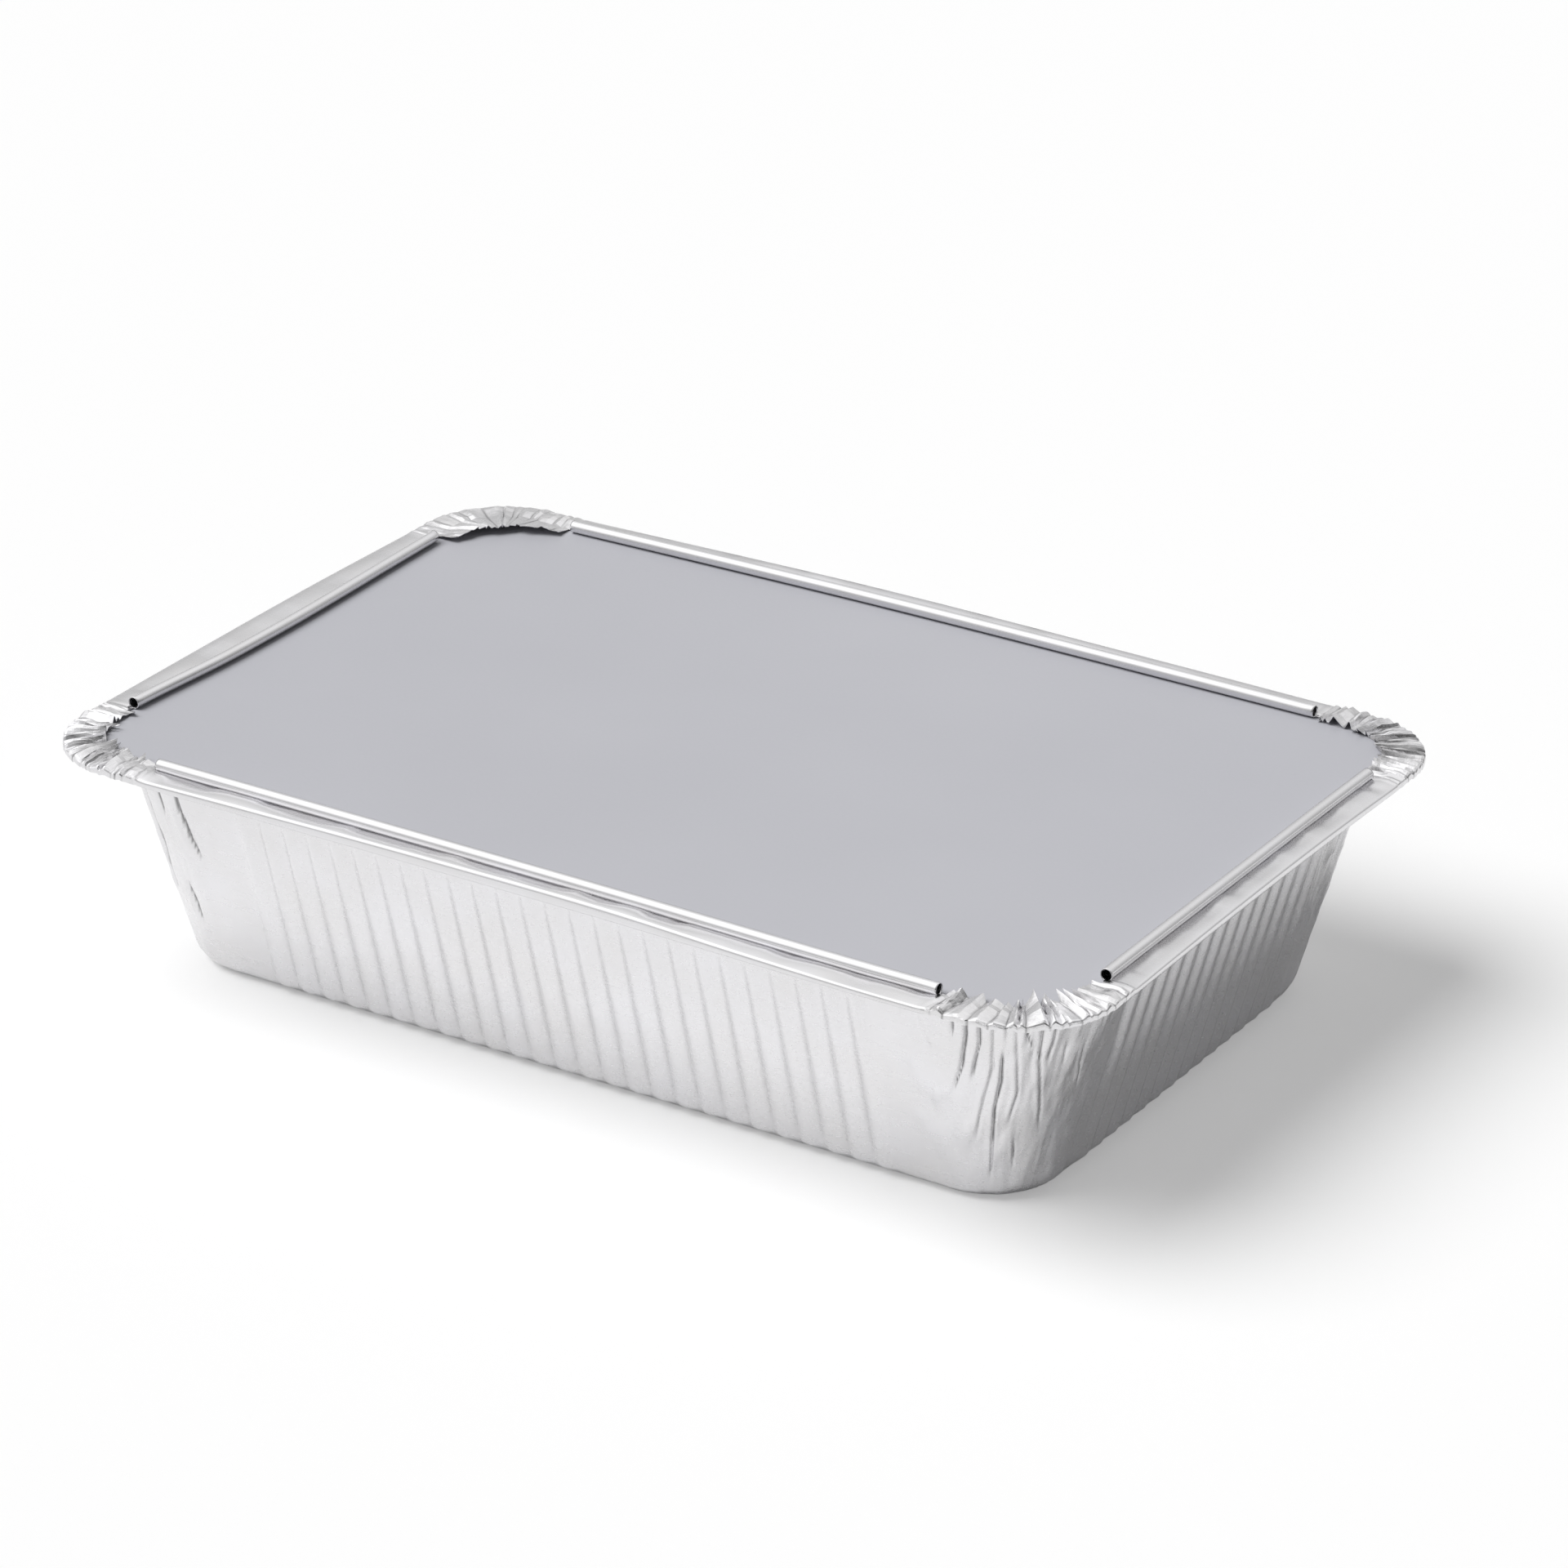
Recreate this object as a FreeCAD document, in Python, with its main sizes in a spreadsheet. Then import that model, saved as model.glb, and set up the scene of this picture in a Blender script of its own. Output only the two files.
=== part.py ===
import FreeCAD, Part
import math
import os

import Sketcher

# Foil food container: a pressed aluminium tray with ribbed walls, whose flange is folded in over a card lid.
# Millimetres. The origin is the centre of the base, +X runs along the length and +Z is up.

SIZES = {
    "base_length": 186,    # flat base, edge to edge before its rounding
    "base_width": 112,
    "base_radius": 15,     # corners of the base, seen from above
    "corner_facets": 6,    # flat facets that round each corner of the walls
    "edge_easing": 3.4,    # chamfer between base and wall
    "spread": 11,          # how far each wall leans out over its height
    "ledge_height": 45,    # base to the top of the ledge that carries the lid
    "ledge_width": 6,      # ledge, from the top of the wall to the rim
    "rim_radius": 18.4,    # corners of the rim, seen from above
    "foil": 0.2,           # thickness of the foil
    "rib_root": 3.4,       # width of a rib where it leaves the wall
    "rib_crest": 1.4,      # width of a rib at its crest
    "rib_depth": 0.9,
    "rib_low": 6,          # height of the lower end of the ribs
    "ribs_long": 26,       # ribs on each long wall
    "rib_span_long": 130,  # first rib to last rib there
    "ribs_short": 14,
    "rib_span_short": 67.6,
    "bead_long": 166,      # length of the rolled bead on each long side
    "bead_short": 96,
    "bead_setback": 1.2,   # end of the bead to the end of the straight flange that carries it
    "bead_radius": 1.05,
    "bead_inset": 6,       # rim to the middle of the bead, seen from above
    "fold_gap": 0.9,       # clear height inside the fold that holds the lid
    "lid_thickness": 0.7,
    "lid_margin": 1.1,     # rim to the edge of the lid
    "gather_width": 8.6,   # rim to the free edge of the gathered corners
    "pleats": 8,           # pleats in each corner
    "pleat_height": 1.1,
    "crease_width": 1.6,   # creases in the corner walls
    "crease_depth": 0.5,
}

doc = FreeCAD.newDocument("foil_food_container")


def make_sheet():
    """Spreadsheet of the driving dimensions, one named cell each."""
    page = doc.addObject("Spreadsheet::Sheet", "Sizes")
    for row, (alias, number) in enumerate(SIZES.items(), start=1):
        page.set(f"A{row}", alias.replace("_", " "))
        page.set(f"B{row}", str(number))
        page.setAlias(f"B{row}", alias)
    doc.recompute()
    return page


sheet = make_sheet()

# Formulas of sizes that follow from the driving ones.
LEAN = "atan(Sizes.spread / Sizes.ledge_height)"
RIM_LENGTH = "Sizes.base_length + 2 * Sizes.spread + 2 * Sizes.ledge_width"
RIM_WIDTH = "Sizes.base_width + 2 * Sizes.spread + 2 * Sizes.ledge_width"
FOLD_RADIUS = "Sizes.fold_gap / 2 + Sizes.foil"


def value(formula):
    """Number that a formula has now."""
    return float(sheet.evalExpression(str(formula)))


def origin_feature(body, role):
    return next(f for f in body.Origin.OriginFeatures if f.Role == role)


def attached_sketch(body, name, plane, height="0"):
    """Sketch on one of the body's origin planes, raised by a height along the plane's normal."""
    sketch = body.newObject("Sketcher::SketchObject", name)
    sketch.AttachmentSupport = (origin_feature(body, plane), [""])
    sketch.MapMode = "FlatFace"
    sketch.setExpression("AttachmentOffset.Base.z", height)
    return sketch


def dimension(sketch, name, formula, kind, *elements):
    """Adds a named dimension to a sketch and binds it to a formula."""
    index = sketch.addConstraint(Sketcher.Constraint(kind, *elements, value(formula)))
    sketch.renameConstraint(index, name)
    sketch.setExpression(f"Constraints.{name}", str(formula))


def rounded_rectangle(body, name, length, width, radius, height="0"):
    """Sketch of a rounded rectangle centred on the origin, in a level plane."""
    sketch = attached_sketch(body, name, "XY_Plane", height)
    half_x, half_y, r = value(length) / 2, value(width) / 2, value(radius)
    arcs = []
    for side_x, side_y, start in ((1, -1, 270), (1, 1, 0), (-1, 1, 90), (-1, -1, 180)):
        centre = FreeCAD.Vector(side_x * (half_x - r), side_y * (half_y - r), 0)
        circle = Part.Circle(centre, FreeCAD.Vector(0, 0, 1), r)
        arcs.append(sketch.addGeometry(Part.ArcOfCircle(circle, math.radians(start), math.radians(start + 90))))
    lines = []
    for index, arc in enumerate(arcs):
        following = arcs[(index + 1) % 4]
        line = sketch.addGeometry(Part.LineSegment(sketch.getPoint(arc, 2), sketch.getPoint(following, 1)))
        sketch.addConstraint(Sketcher.Constraint("Tangent", arc, 2, line, 1))
        sketch.addConstraint(Sketcher.Constraint("Tangent", line, 2, following, 1))
        sketch.addConstraint(Sketcher.Constraint("Horizontal" if index % 2 else "Vertical", line))
        lines.append(line)
    for arc in arcs[1:]:
        sketch.addConstraint(Sketcher.Constraint("Equal", arcs[0], arc))
    sketch.addConstraint(Sketcher.Constraint("Symmetric", arcs[0], 3, arcs[2], 3, -1, 1))
    dimension(sketch, "radius", radius, "Radius", arcs[0])
    dimension(sketch, "length", length, "DistanceX", lines[2], 1, lines[0], 1)
    dimension(sketch, "width", width, "DistanceY", lines[3], 1, lines[1], 1)
    return sketch


def polygon(body, name, height, points):
    """Sketch of a closed polygon in a level plane, whose points are pairs of formulas."""
    sketch = attached_sketch(body, name, "XY_Plane", height)
    places = [FreeCAD.Vector(value(x), value(y), 0) for x, y in points]
    lines = []
    for index, place in enumerate(places):
        lines.append(sketch.addGeometry(Part.LineSegment(place, places[(index + 1) % len(places)])))
    for index, (x, y) in enumerate(points):
        sketch.addConstraint(Sketcher.Constraint("Coincident", lines[index - 1], 2, lines[index], 1))
        dimension(sketch, f"x{index}", x, "DistanceX", -1, 1, lines[index], 1)
        dimension(sketch, f"y{index}", y, "DistanceY", -1, 1, lines[index], 1)
    return sketch


def faceted_rectangle(length, width, radius):
    """Points of a rectangle centred on the origin, whose corners are rounded in flat facets."""
    facets = int(sheet.corner_facets)
    points = []
    for side_x, side_y, start in ((1, -1, 270), (1, 1, 0), (-1, 1, 90), (-1, -1, 180)):
        for step in range(facets + 1):
            angle = f"({start} + 90 * {step} / Sizes.corner_facets)"
            x = f"{side_x} * (({length}) / 2 - ({radius})) + ({radius}) * cos({angle})"
            y = f"{side_y} * (({width}) / 2 - ({radius})) + ({radius}) * sin({angle})"
            points.append((x, y))
    return points


def pad(body, name, sketch, length, symmetric=False):
    feature = body.newObject("PartDesign::Pad", name)
    feature.Profile = sketch
    feature.SideType = "Symmetric" if symmetric else "One side"
    feature.setExpression("Length", length)
    feature.Refine = False
    return feature


def faces_where(feature, test):
    """Names of the faces of a feature whose middle point and normal pass a test."""
    doc.recompute()
    names = []
    for index, face in enumerate(feature.Shape.Faces, start=1):
        u, v = (sum(face.ParameterRange[i:i + 2]) / 2 for i in (0, 2))
        if test(face.valueAt(u, v), face.normalAt(u, v)):
            names.append(f"Face{index}")
    return names


def dressed(body, name, kind, base, elements):
    """Feature that changes faces or edges of the feature before it: a draft or a chamfer."""
    feature = body.newObject(f"PartDesign::{kind}", name)
    feature.Base = (base, elements)
    feature.Refine = False
    return feature


def make_block(body, name, inset, low, high):
    """Block with leaning walls and faceted corners, whose lower edge is eased by a chamfer."""
    outline = polygon(body, f"{name}_outline", low, faceted_rectangle(
        f"Sizes.base_length - 2 * {inset}", f"Sizes.base_width - 2 * {inset}", f"Sizes.base_radius - {inset}"))
    block = pad(body, f"{name}_block", outline, f"{high} - ({low})")
    leaning = dressed(body, f"{name}_walls", "Draft", block, faces_where(block, lambda p, n: abs(n.z) < 0.5))
    leaning.NeutralPlane = (origin_feature(body, "XY_Plane"), [""])
    leaning.Reversed = True
    leaning.setExpression("Angle", LEAN)
    floor = faces_where(leaning, lambda p, n: p.z < value(low) + 1e-6)
    eased = dressed(body, f"{name}_lower_edge", "Chamfer", leaning, floor)
    eased.setExpression("Size", "Sizes.edge_easing")
    doc.recompute()


def make_inside():
    """Body that fills the inside of the tray, up through the ledge."""
    body = doc.addObject("PartDesign::Body", "inside")
    make_block(body, "inside", f"Sizes.foil / cos({LEAN})", "Sizes.foil", "Sizes.ledge_height + Sizes.foil")
    return body


def rib_row(name, wall, hollow):
    """Body with the row of ribs of one wall, or the hollows behind them. The wall is long or short."""
    body = doc.addObject("PartDesign::Body", name)
    axis, along = {"long": ("width", "X_Axis"), "short": ("length", "Y_Axis")}[wall]
    span, count = f"Sizes.rib_span_{wall}", f"Sizes.ribs_{wall}"
    if hollow:
        inset, narrowing, behind = "Sizes.foil", "0.8 * Sizes.foil", "2 * Sizes.foil"
        low, high = "Sizes.rib_low + 1.5 * Sizes.foil", "Sizes.ledge_height + Sizes.foil"
    else:
        inset, narrowing, behind = "0", "0", "Sizes.foil / 2"
        low, high = "Sizes.rib_low", "Sizes.ledge_height - Sizes.foil / 2"
    face = f"(Sizes.base_{axis} / 2 + Sizes.spread * ({low}) / Sizes.ledge_height)"
    root, crest = (f"(Sizes.rib_{width} - {narrowing}) / 2" for width in ("root", "crest"))
    back, front = f"-({face} - {behind})", f"-({face} + Sizes.rib_depth - {inset})"
    corners = [(f"-{span} / 2 - {root}", back), (f"-{span} / 2 + {root}", back),
               (f"-{span} / 2 + {crest}", front), (f"-{span} / 2 - {crest}", front)]
    if wall == "short":
        corners = [(y, x) for x, y in corners]
    rib = pad(body, f"{name}_first", polygon(body, f"{name}_section", low, corners), f"{high} - ({low})")
    rib.UseCustomVector = True
    rib.AlongSketchNormal = True
    lean = sheet.spread / sheet.ledge_height
    rib.Direction = FreeCAD.Vector(0, -lean, 1) if wall == "long" else FreeCAD.Vector(-lean, 0, 1)
    rib.setExpression(f"Direction.{'y' if wall == 'long' else 'x'}", "-Sizes.spread / Sizes.ledge_height")
    doc.recompute()
    row = body.newObject("PartDesign::LinearPattern", f"{name}_row")
    row.Originals = [rib]
    row.Direction = (origin_feature(body, along), [""])
    row.Mode = "Extent"
    row.setExpression("Length", span)
    row.setExpression("Occurrences", count)
    row.Refine = False
    body.Tip = row
    return body


def mirrored(body, name, features, plane):
    doc.recompute()
    feature = body.newObject("PartDesign::Mirrored", name)
    feature.Originals = features
    feature.MirrorPlane = (origin_feature(body, plane), [""])
    feature.Refine = False
    body.Tip = feature


def fold_section(body, wall, plane, rim):
    """Section of the folded flange: out of the ledge, round the edge of the lid and back over it."""
    sketch = attached_sketch(body, f"fold_{wall}", plane)
    inner, outer = value("Sizes.fold_gap / 2"), value(FOLD_RADIUS)
    centre = FreeCAD.Vector(-value(f"({rim}) / 2 - ({FOLD_RADIUS})"), value("Sizes.ledge_height") + inner, 0)
    reach = {"foot": value("Sizes.bead_radius"), "strip": value(f"Sizes.bead_inset - ({FOLD_RADIUS})")}
    back = FreeCAD.Vector(0, 0, 1)
    for radius in (inner, outer):
        sketch.addGeometry(Part.ArcOfCircle(Part.Circle(centre, back, radius), math.radians(90), math.radians(270)))
    for side, leg in ((1, "strip"), (-1, "foot")):
        ends = []
        for radius in (inner, outer):
            start = centre + FreeCAD.Vector(0, side * radius, 0)
            ends.append([start, start + FreeCAD.Vector(reach[leg], 0, 0)])
        for start, end in ends:
            sketch.addGeometry(Part.LineSegment(start, end))
        sketch.addGeometry(Part.LineSegment(ends[0][1], ends[1][1]))
    for first, arc_point in ((2, 1), (5, 2)):
        for arc in (0, 1):
            sketch.addConstraint(Sketcher.Constraint("Tangent", arc, arc_point, first + arc, 1))
            sketch.addConstraint(Sketcher.Constraint("Coincident", first + arc, 2, first + 2, arc + 1))
        sketch.addConstraint(Sketcher.Constraint("Horizontal", first))
        sketch.addConstraint(Sketcher.Constraint("Vertical", first + 2))
    sketch.addConstraint(Sketcher.Constraint("Coincident", 0, 3, 1, 3))
    dimension(sketch, "gap", "Sizes.fold_gap / 2", "Radius", 0)
    dimension(sketch, "bend", FOLD_RADIUS, "Radius", 1)
    dimension(sketch, "rim", f"-(({rim}) / 2 - ({FOLD_RADIUS}))", "DistanceX", -1, 1, 0, 3)
    dimension(sketch, "height", "Sizes.ledge_height + Sizes.fold_gap / 2", "DistanceY", -1, 1, 0, 3)
    dimension(sketch, "strip", f"Sizes.bead_inset - ({FOLD_RADIUS})", "DistanceX", 2, 1, 2, 2)
    dimension(sketch, "foot", "Sizes.bead_radius", "DistanceX", 5, 1, 5, 2)
    return sketch


def bead_section(body, wall, plane, rim):
    """Section of the rolled bead: a small tube on the free edge of the folded flange."""
    sketch = attached_sketch(body, f"bead_{wall}", plane)
    across = f"-(({rim}) / 2 - Sizes.bead_inset)"
    height = "Sizes.ledge_height + Sizes.fold_gap + Sizes.foil / 2 + Sizes.bead_radius"
    centre = FreeCAD.Vector(value(across), value(height), 0)
    for radius in ("Sizes.bead_radius", "Sizes.bead_radius - Sizes.foil"):
        ring = sketch.addGeometry(Part.Circle(centre, FreeCAD.Vector(0, 0, 1), value(radius)))
        dimension(sketch, f"radius{ring}", radius, "Radius", ring)
    sketch.addConstraint(Sketcher.Constraint("Coincident", 0, 3, 1, 3))
    dimension(sketch, "across", across, "DistanceX", -1, 1, 0, 3)
    dimension(sketch, "height", height, "DistanceY", -1, 1, 0, 3)
    return sketch


def make_pan():
    """Outside of the tray without its corner gathers: base, walls, ledge, and the folded and beaded flange."""
    body = doc.addObject("PartDesign::Body", "pan")
    make_block(body, "outside", "0", "0", "Sizes.ledge_height")
    ledge = rounded_rectangle(body, "ledge_outline", f"{RIM_LENGTH} - 2 * ({FOLD_RADIUS})",
                              f"{RIM_WIDTH} - 2 * ({FOLD_RADIUS})", f"Sizes.rim_radius - ({FOLD_RADIUS})",
                              "Sizes.ledge_height - Sizes.foil")
    pad(body, "ledge", ledge, "Sizes.foil")
    for wall, plane, rim, across in (("long", "YZ_Plane", RIM_WIDTH, "XZ_Plane"),
                                     ("short", "XZ_Plane", RIM_LENGTH, "YZ_Plane")):
        length = f"Sizes.bead_{wall}"
        straight = f"{length} + 2 * Sizes.bead_setback"
        fold = pad(body, f"flange_{wall}", fold_section(body, wall, plane, rim), straight, symmetric=True)
        bead = pad(body, f"rolled_edge_{wall}", bead_section(body, wall, plane, rim), length, symmetric=True)
        mirrored(body, f"other_{wall}", [fold, bead], across)
    return body


def make_lid():
    """Flat card lid, lying on the ledge inside the fold."""
    body = doc.addObject("PartDesign::Body", "lid")
    outline = rounded_rectangle(body, "lid_outline", f"{RIM_LENGTH} - 2 * Sizes.lid_margin",
                                f"{RIM_WIDTH} - 2 * Sizes.lid_margin", "Sizes.rim_radius - Sizes.lid_margin",
                                "Sizes.ledge_height")
    pad(body, "board", outline, "Sizes.lid_thickness")
    return body


def solid_through(sections):
    """Closed solid with flat faces through a row of sections that have the same number of points."""
    faces = [Part.Face(Part.makePolygon(end + end[:1])) for end in (sections[0], sections[-1])]
    for near, far in zip(sections, sections[1:]):
        for index, corner in enumerate(near):
            following = (index + 1) % len(near)
            for triangle in ((corner, near[following], far[following]), (corner, far[following], far[index])):
                faces.append(Part.Face(Part.makePolygon([*triangle, triangle[0]])))
    solid = Part.makeSolid(Part.makeShell(faces))
    if solid.Volume < 0:
        solid.reverse()
    return solid


def rim_path():
    """Points of the rim round one corner, from bead end to bead end, each with its inward direction."""
    half_x, half_y, radius = value(RIM_LENGTH) / 2, value(RIM_WIDTH) / 2, value("Sizes.rim_radius")
    centre = FreeCAD.Vector(half_x - radius, radius - half_y, 0)
    lap = sheet.bead_setback / 2
    start, end = sheet.bead_long / 2 + lap, -sheet.bead_short / 2 - lap
    lengths = [centre.x - start, radius * math.pi / 2, end - centre.y]
    steps = 2 * int(sheet.pleats)
    path = []
    for step in range(steps + 1):
        along = sum(lengths) * step / steps
        if along < lengths[0]:
            path.append((FreeCAD.Vector(start + along, -half_y, 0), FreeCAD.Vector(0, 1, 0)))
        elif along < lengths[0] + lengths[1]:
            turn = (along - lengths[0]) / radius
            outward = FreeCAD.Vector(math.sin(turn), -math.cos(turn), 0)
            path.append((centre + outward * radius, outward * -1))
        else:
            rise = along - lengths[0] - lengths[1]
            path.append((FreeCAD.Vector(half_x, centre.y + rise, 0), FreeCAD.Vector(-1, 0, 0)))
    return path


def gathered_flange():
    """Flange folded in round one corner, with its spare foil gathered in pleats."""
    ledge, foil = sheet.ledge_height, sheet.foil
    lid_side = ledge + sheet.fold_gap + foil / 4
    sections = []
    for step, (rim, inward) in enumerate(rim_path()):
        rise = sheet.pleat_height * (step % 2)
        tuck = foil * (1 - step % 2)
        profile = [
            (5 * foil, ledge - foil * 0.7), (tuck, ledge + sheet.fold_gap / 2),
            (tuck + 2 * foil, lid_side + foil + rise / 3), (sheet.gather_width * 0.45, lid_side + foil + rise),
            (sheet.gather_width, lid_side + foil + rise / 2), (sheet.gather_width, lid_side + rise / 2),
            (sheet.gather_width * 0.45, lid_side + rise), (tuck + 3.5 * foil, lid_side + rise / 3),
            (tuck + foil, ledge + sheet.fold_gap / 2), (5 * foil, ledge - foil * 0.2),
        ]
        sections.append([rim + inward * w + FreeCAD.Vector(0, 0, z) for w, z in profile])
    return solid_through(sections)


def wall_crease(turn, low, high):
    """Sharp crease down a corner wall, at a turn in degrees from the long wall, between two heights."""
    centre = FreeCAD.Vector(sheet.base_length / 2 - sheet.base_radius, sheet.base_radius - sheet.base_width / 2, 0)
    outward = FreeCAD.Vector(math.sin(math.radians(turn)), -math.cos(math.radians(turn)), 0)
    across = FreeCAD.Vector(-outward.y, outward.x, 0) * (sheet.crease_width / 2)
    sections = []
    for height, depth in ((low, 0), ((low + high) / 2, sheet.crease_depth), (high, sheet.crease_depth)):
        radius = sheet.base_radius + sheet.spread * height / sheet.ledge_height
        foot = centre + outward * (radius - 1.1 * sheet.foil) + FreeCAD.Vector(0, 0, height)
        crest = centre + outward * (radius + depth) + FreeCAD.Vector(0, 0, height)
        sections.append([foot - across, foot + across, crest])
    return solid_through(sections)


# Creases down each corner wall: turn from the long wall, lower and upper height.
CREASES = [(8, 20, 43), (22, 10, 43), (39, 8, 43), (53, 12, 43), (68, 9, 43), (82, 18, 43)]


def make_corner(name):
    """Folds of the corner at +X and -Y: the gathered flange and the creases of the wall below it."""
    corner = doc.addObject("Part::Feature", name)
    creases = [wall_crease(*crease) for crease in CREASES]
    corner.Shape = Part.makeCompound([gathered_flange(), *creases])
    corner.Placement = FreeCAD.Placement()
    return corner


def mirrored_part(name, source, normal):
    feature = doc.addObject("Part::Mirroring", name)
    feature.Source = source
    feature.Normal = normal
    return feature


def make_ribs(name, hollow):
    """The four rows of ribs, or of the hollows behind them."""
    rows = []
    for wall, normal in (("long", (0, 1, 0)), ("short", (1, 0, 0))):
        row = rib_row(f"{name}_{wall}", wall, hollow)
        rows += [row, mirrored_part(f"{name}_{wall}_opposite", row, normal)]
    return rows


def make_tray():
    """The whole foil tray as one solid: its outside with ribs and gathered corners, hollowed out behind."""
    front_right = make_corner("corner_front_right")
    front_left = mirrored_part("corner_front_left", front_right, (1, 0, 0))
    back_right = mirrored_part("corner_back_right", front_right, (0, 1, 0))
    back_left = mirrored_part("corner_back_left", front_left, (0, 1, 0))
    pan = make_pan()
    inside = make_inside()
    ribs = make_ribs("rib", hollow=False)
    hollows = make_ribs("hollow", hollow=True)
    doc.recompute()
    rimmed = pan.Shape.fuse([corner.Shape for corner in (front_right, front_left, back_right, back_left)])
    ribbed = rimmed.fuse([row.Shape for row in ribs])
    if ribbed.Volume < rimmed.Volume + 0.8 * sum(row.Shape.Volume for row in ribs):
        raise RuntimeError("the ribs were not added")
    tray = doc.addObject("Part::Feature", "tray")
    tray.Shape = ribbed.cut([part.Shape for part in (inside, *hollows)])
    return tray


NODES = {"foil_tray": make_tray(), "card_lid": make_lid()}
for label, node in NODES.items():
    node.Label = label
    node.Placement = FreeCAD.Placement()
doc.recompute()

for item in doc.Objects:
    if "Invalid" in item.State or "Error" in item.State:
        raise RuntimeError(f"{item.Label} failed: {item.State}")
for label, node in NODES.items():
    if node.Shape.isNull() or not node.Shape.isValid() or len(node.Shape.Solids) != 1:
        raise RuntimeError(f"{label} is not one valid solid")

os.makedirs("parts", exist_ok=True)
for label, node in NODES.items():
    node.Shape.exportStep(f"parts/{label}.step")
    box = node.Shape.BoundBox
    print(f"{label}: {box.XLength:.2f} x {box.YLength:.2f} x {box.ZLength:.2f} mm, {node.Shape.Volume:.0f} mm3")
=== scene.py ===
"""Foil food container: pressed aluminium tray with its rim folded in over a laminated card lid."""

import math
from collections import namedtuple

import bpy
import numpy as np
from mathutils import Matrix, Vector


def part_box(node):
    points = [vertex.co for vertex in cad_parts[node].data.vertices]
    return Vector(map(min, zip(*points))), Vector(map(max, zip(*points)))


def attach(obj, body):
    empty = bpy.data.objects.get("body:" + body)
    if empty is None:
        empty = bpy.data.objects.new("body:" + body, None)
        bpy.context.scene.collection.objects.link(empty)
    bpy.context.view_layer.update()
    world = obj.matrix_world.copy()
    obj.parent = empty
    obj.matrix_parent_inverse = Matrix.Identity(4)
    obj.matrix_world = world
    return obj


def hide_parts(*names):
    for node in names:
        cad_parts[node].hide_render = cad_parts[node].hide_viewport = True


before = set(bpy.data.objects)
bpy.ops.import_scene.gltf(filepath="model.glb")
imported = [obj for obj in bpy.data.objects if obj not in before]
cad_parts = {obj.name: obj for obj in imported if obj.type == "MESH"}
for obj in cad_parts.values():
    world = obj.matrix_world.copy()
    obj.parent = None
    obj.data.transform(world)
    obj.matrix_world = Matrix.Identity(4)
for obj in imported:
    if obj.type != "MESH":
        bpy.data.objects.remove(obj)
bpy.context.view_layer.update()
tray_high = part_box("foil_tray")[1]
lid_low, lid_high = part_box("card_lid")

MM = 0.001

# Sizes of the tray, in metres. Long and wide sizes are measured from the middle of the tray.
RIM_LONG = tray_high.x
RIM_WIDE = tray_high.y
LEDGE_TOP = lid_low.z
LID_TOP = lid_high.z
FOIL = 0.12 * MM
OVERHANG = 17 * MM
LEDGE_WIDTH = 6 * MM
BASE_LONG = RIM_LONG - OVERHANG
BASE_WIDE = RIM_WIDE - OVERHANG
BASE_RADIUS = 15 * MM
BOTTOM_ROUNDING = 5 * MM
WALL_SPREAD = OVERHANG - LEDGE_WIDTH
CORNER_ARC = (BASE_RADIUS + WALL_SPREAD / 2) * math.pi / 2

# Rim in plan: each corner's arc, and the straight lead to it from the end of a wall's straight part
RIM_RADIUS = 18.4 * MM
RIM_ARC = RIM_RADIUS * math.pi / 2
RIM_LEAD = RIM_LONG - RIM_RADIUS - (BASE_LONG - BASE_RADIUS)

# Rim in section: the ledge, the strip over the lid and the bead rolled at its free edge
LEDGE_MIDDLE = LEDGE_TOP - FOIL / 2 - 0.06 * MM
LEDGE_INSET = 3.2 * MM
STRIP_END = LID_TOP + 0.15 * MM
BEAD_RADIUS = 1.12 * MM
BEAD_HALF_LONG = 83 * MM
BEAD_HALF_WIDE = 48 * MM
BEAD_SETBACK = 1.2 * MM
BEAD_DEGREES = range(-65, 265, 25)

# Gathered corners: how far in the strip and the gathers reach, and the crumpled bunch beside each bead
CORNER_REACH = 5.6 * MM
GATHER_WIDTH = 7.2 * MM
GATHER_FADE = (-2 * MM, 5 * MM)
BUNCH_WIDTH = 2.5 * MM
CORNER_CRUMPLE = 0.45

# Ribs: their ends fade along the wall and below the ledge
RIB_PITCH = 5.2 * MM
RIB_DEPTH = 0.8 * MM
RIBS_HALF_LONG = 67.6 * MM
RIBS_HALF_WIDE = 36.4 * MM
RIB_END_FADE = (-0.2 * MM, 1.6 * MM)
RIB_TOP_FADE = (40 * MM, 45 * MM)
RIB_LOST_AT_TOP = 0.75

# Creases and dents of the corner walls
CREASE_FOOT_FADE = (2 * MM, 7 * MM)
DENTED_BY_CORNER = 11 * MM
CREASE_DEPTH = 0.5 * MM
DENT_DEPTH = 1.1 * MM

# Relief of the rim: pleats drawn at random between the spans given, spikes, crumpling and slackness
PLEAT_HEIGHT = 2.0 * MM
PLEAT_CREST = (0.2, 0.8)
PLEAT_RISE = (0.3, 1.2)
SPIKED_FROM = 0.35
SPIKE_LENGTH = 3.2 * MM
CRUMPLE_DEPTH = 0.8 * MM
STRIP_SLACK = 0.45 * MM

# Spacing of the mesh
STOPS_A_RIB = 8
SMOOTH_STOP = 1.3 * MM
FINE_STOP = 0.5 * MM
FINE_MARGIN = 4 * MM
EDGE_STEPS = 5
WALL_STEPS = 13
ROWS_A_STEP = 3
RIM_STOP = 2.6 * MM
RIM_CORNER_STOPS = 180
STRIP_SHARES = (0.25, 0.5, 0.75, 1.0)
WELD = 0.002 * MM
FACETED_FROM = 0.3
SEED = 7

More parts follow.
